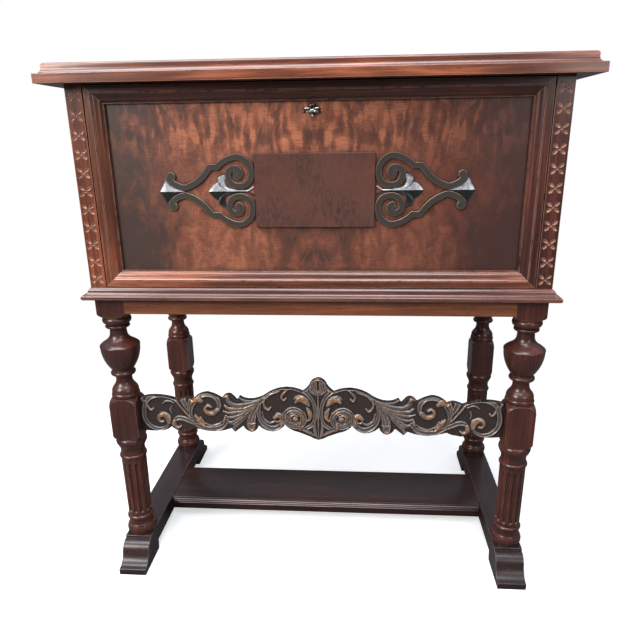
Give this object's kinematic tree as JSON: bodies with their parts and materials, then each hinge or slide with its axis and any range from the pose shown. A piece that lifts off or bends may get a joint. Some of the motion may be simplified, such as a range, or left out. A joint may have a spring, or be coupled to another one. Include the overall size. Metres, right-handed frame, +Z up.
{
  "type": "fall-front writing cabinet on stand",
  "caption": "Fall-front writing cabinet with moulded top and scroll frets, on a stand of turned fluted legs joined by foot runners, a low shelf and a carved stretcher.",
  "frame": {"origin": "on the floor, under the middle of the desk's bounding box", "axes": "+X to the sitter's right, -Y out of the front, +Z up"},
  "size_m": [0.934, 0.534, 1.02],
  "materials": {
    "walnut": "dark red-brown stained walnut, satin varnish, blackish shading in the mouldings",
    "figured_walnut": "figured orange-brown walnut veneer, satin varnish, shaded darker at the edges",
    "dark_carving": "black-green painted carving with rubbed copper and gold high points",
    "inner_wood": "plain oiled wood inside the cabinet",
    "brass": "aged brass",
    "steel": "plain steel"
  },
  "bodies": {
    "desk": {"front_left_leg": "walnut", "rear_left_leg": "walnut", "front_right_leg": "walnut", "rear_right_leg": "walnut", "left_foot_runner": "walnut", "right_foot_runner": "walnut", "shelf": "walnut", "front_apron": "walnut", "rear_apron": "walnut", "left_apron": "walnut", "right_apron": "walnut", "front_base_moulding": "walnut", "left_base_moulding": "walnut", "right_base_moulding": "walnut", "left_post": "walnut", "right_post": "walnut", "left_side": "walnut", "right_side": "walnut", "top_slab": "walnut", "carved_stretcher": "dark_carving", "rear_base_rail": "inner_wood", "back_panel": "inner_wood", "floor_bearer": "inner_wood", "cabinet_floor": "inner_wood", "gallery_top": "inner_wood", "gallery_left_end": "inner_wood", "gallery_left_divider": "inner_wood", "left_drawer_shelf": "inner_wood", "gallery_right_end": "inner_wood", "gallery_right_divider": "inner_wood", "right_drawer_shelf": "inner_wood", "letter_partitions": "inner_wood", "left_pivot_plate": "brass", "right_pivot_plate": "brass", "strike_plate": "brass", "left_keeper": "brass", "right_keeper": "brass"},
    "fall": {"fall_top_rail": "walnut", "fall_bottom_rail": "walnut", "fall_left_stile": "walnut", "fall_right_stile": "walnut", "fall_panel": "figured_walnut", "centre_tablet": "figured_walnut", "left_fret": "dark_carving", "right_fret": "dark_carving", "left_pivot_leaf": "brass", "right_pivot_leaf": "brass", "left_quadrant": "brass", "right_quadrant": "brass", "lock_case": "brass", "escutcheon": "brass"},
    "key": {"key": "brass"},
    "bolt": {"lock_bolt": "steel"},
    "left_drawer": {"left_drawer_front": "inner_wood", "left_drawer_box": "inner_wood", "left_drawer_knob": "inner_wood"},
    "right_drawer": {"right_drawer_front": "inner_wood", "right_drawer_box": "inner_wood", "right_drawer_knob": "inner_wood"}
  },
  "joints": [
    {"name": "fall_hinge", "type": "hinge", "parent": "desk", "child": "fall", "pos_m": [0, -0.211, 0.6395], "axis": [1, 0, 0], "range_deg": [0, 90]},
    {"name": "key_turn", "type": "hinge", "parent": "fall", "child": "key", "pos_m": [0, -0.19, 0.9415], "axis": [0, 1, 0], "range_deg": [0, 90]},
    {"name": "bolt_slide", "type": "slide", "parent": "fall", "child": "bolt", "axis": [0, 0, 1], "range_m": [0, 0.0095]},
    {"name": "left_drawer_slide", "type": "slide", "parent": "desk", "child": "left_drawer", "axis": [0, -1, 0], "range_m": [0, 0.1]},
    {"name": "right_drawer_slide", "type": "slide", "parent": "desk", "child": "right_drawer", "axis": [0, -1, 0], "range_m": [0, 0.1]}
  ],
  "couplings": [
    {"joint": "bolt_slide", "follows": "key_turn", "m_per_rad": 0.00509}
  ]
}
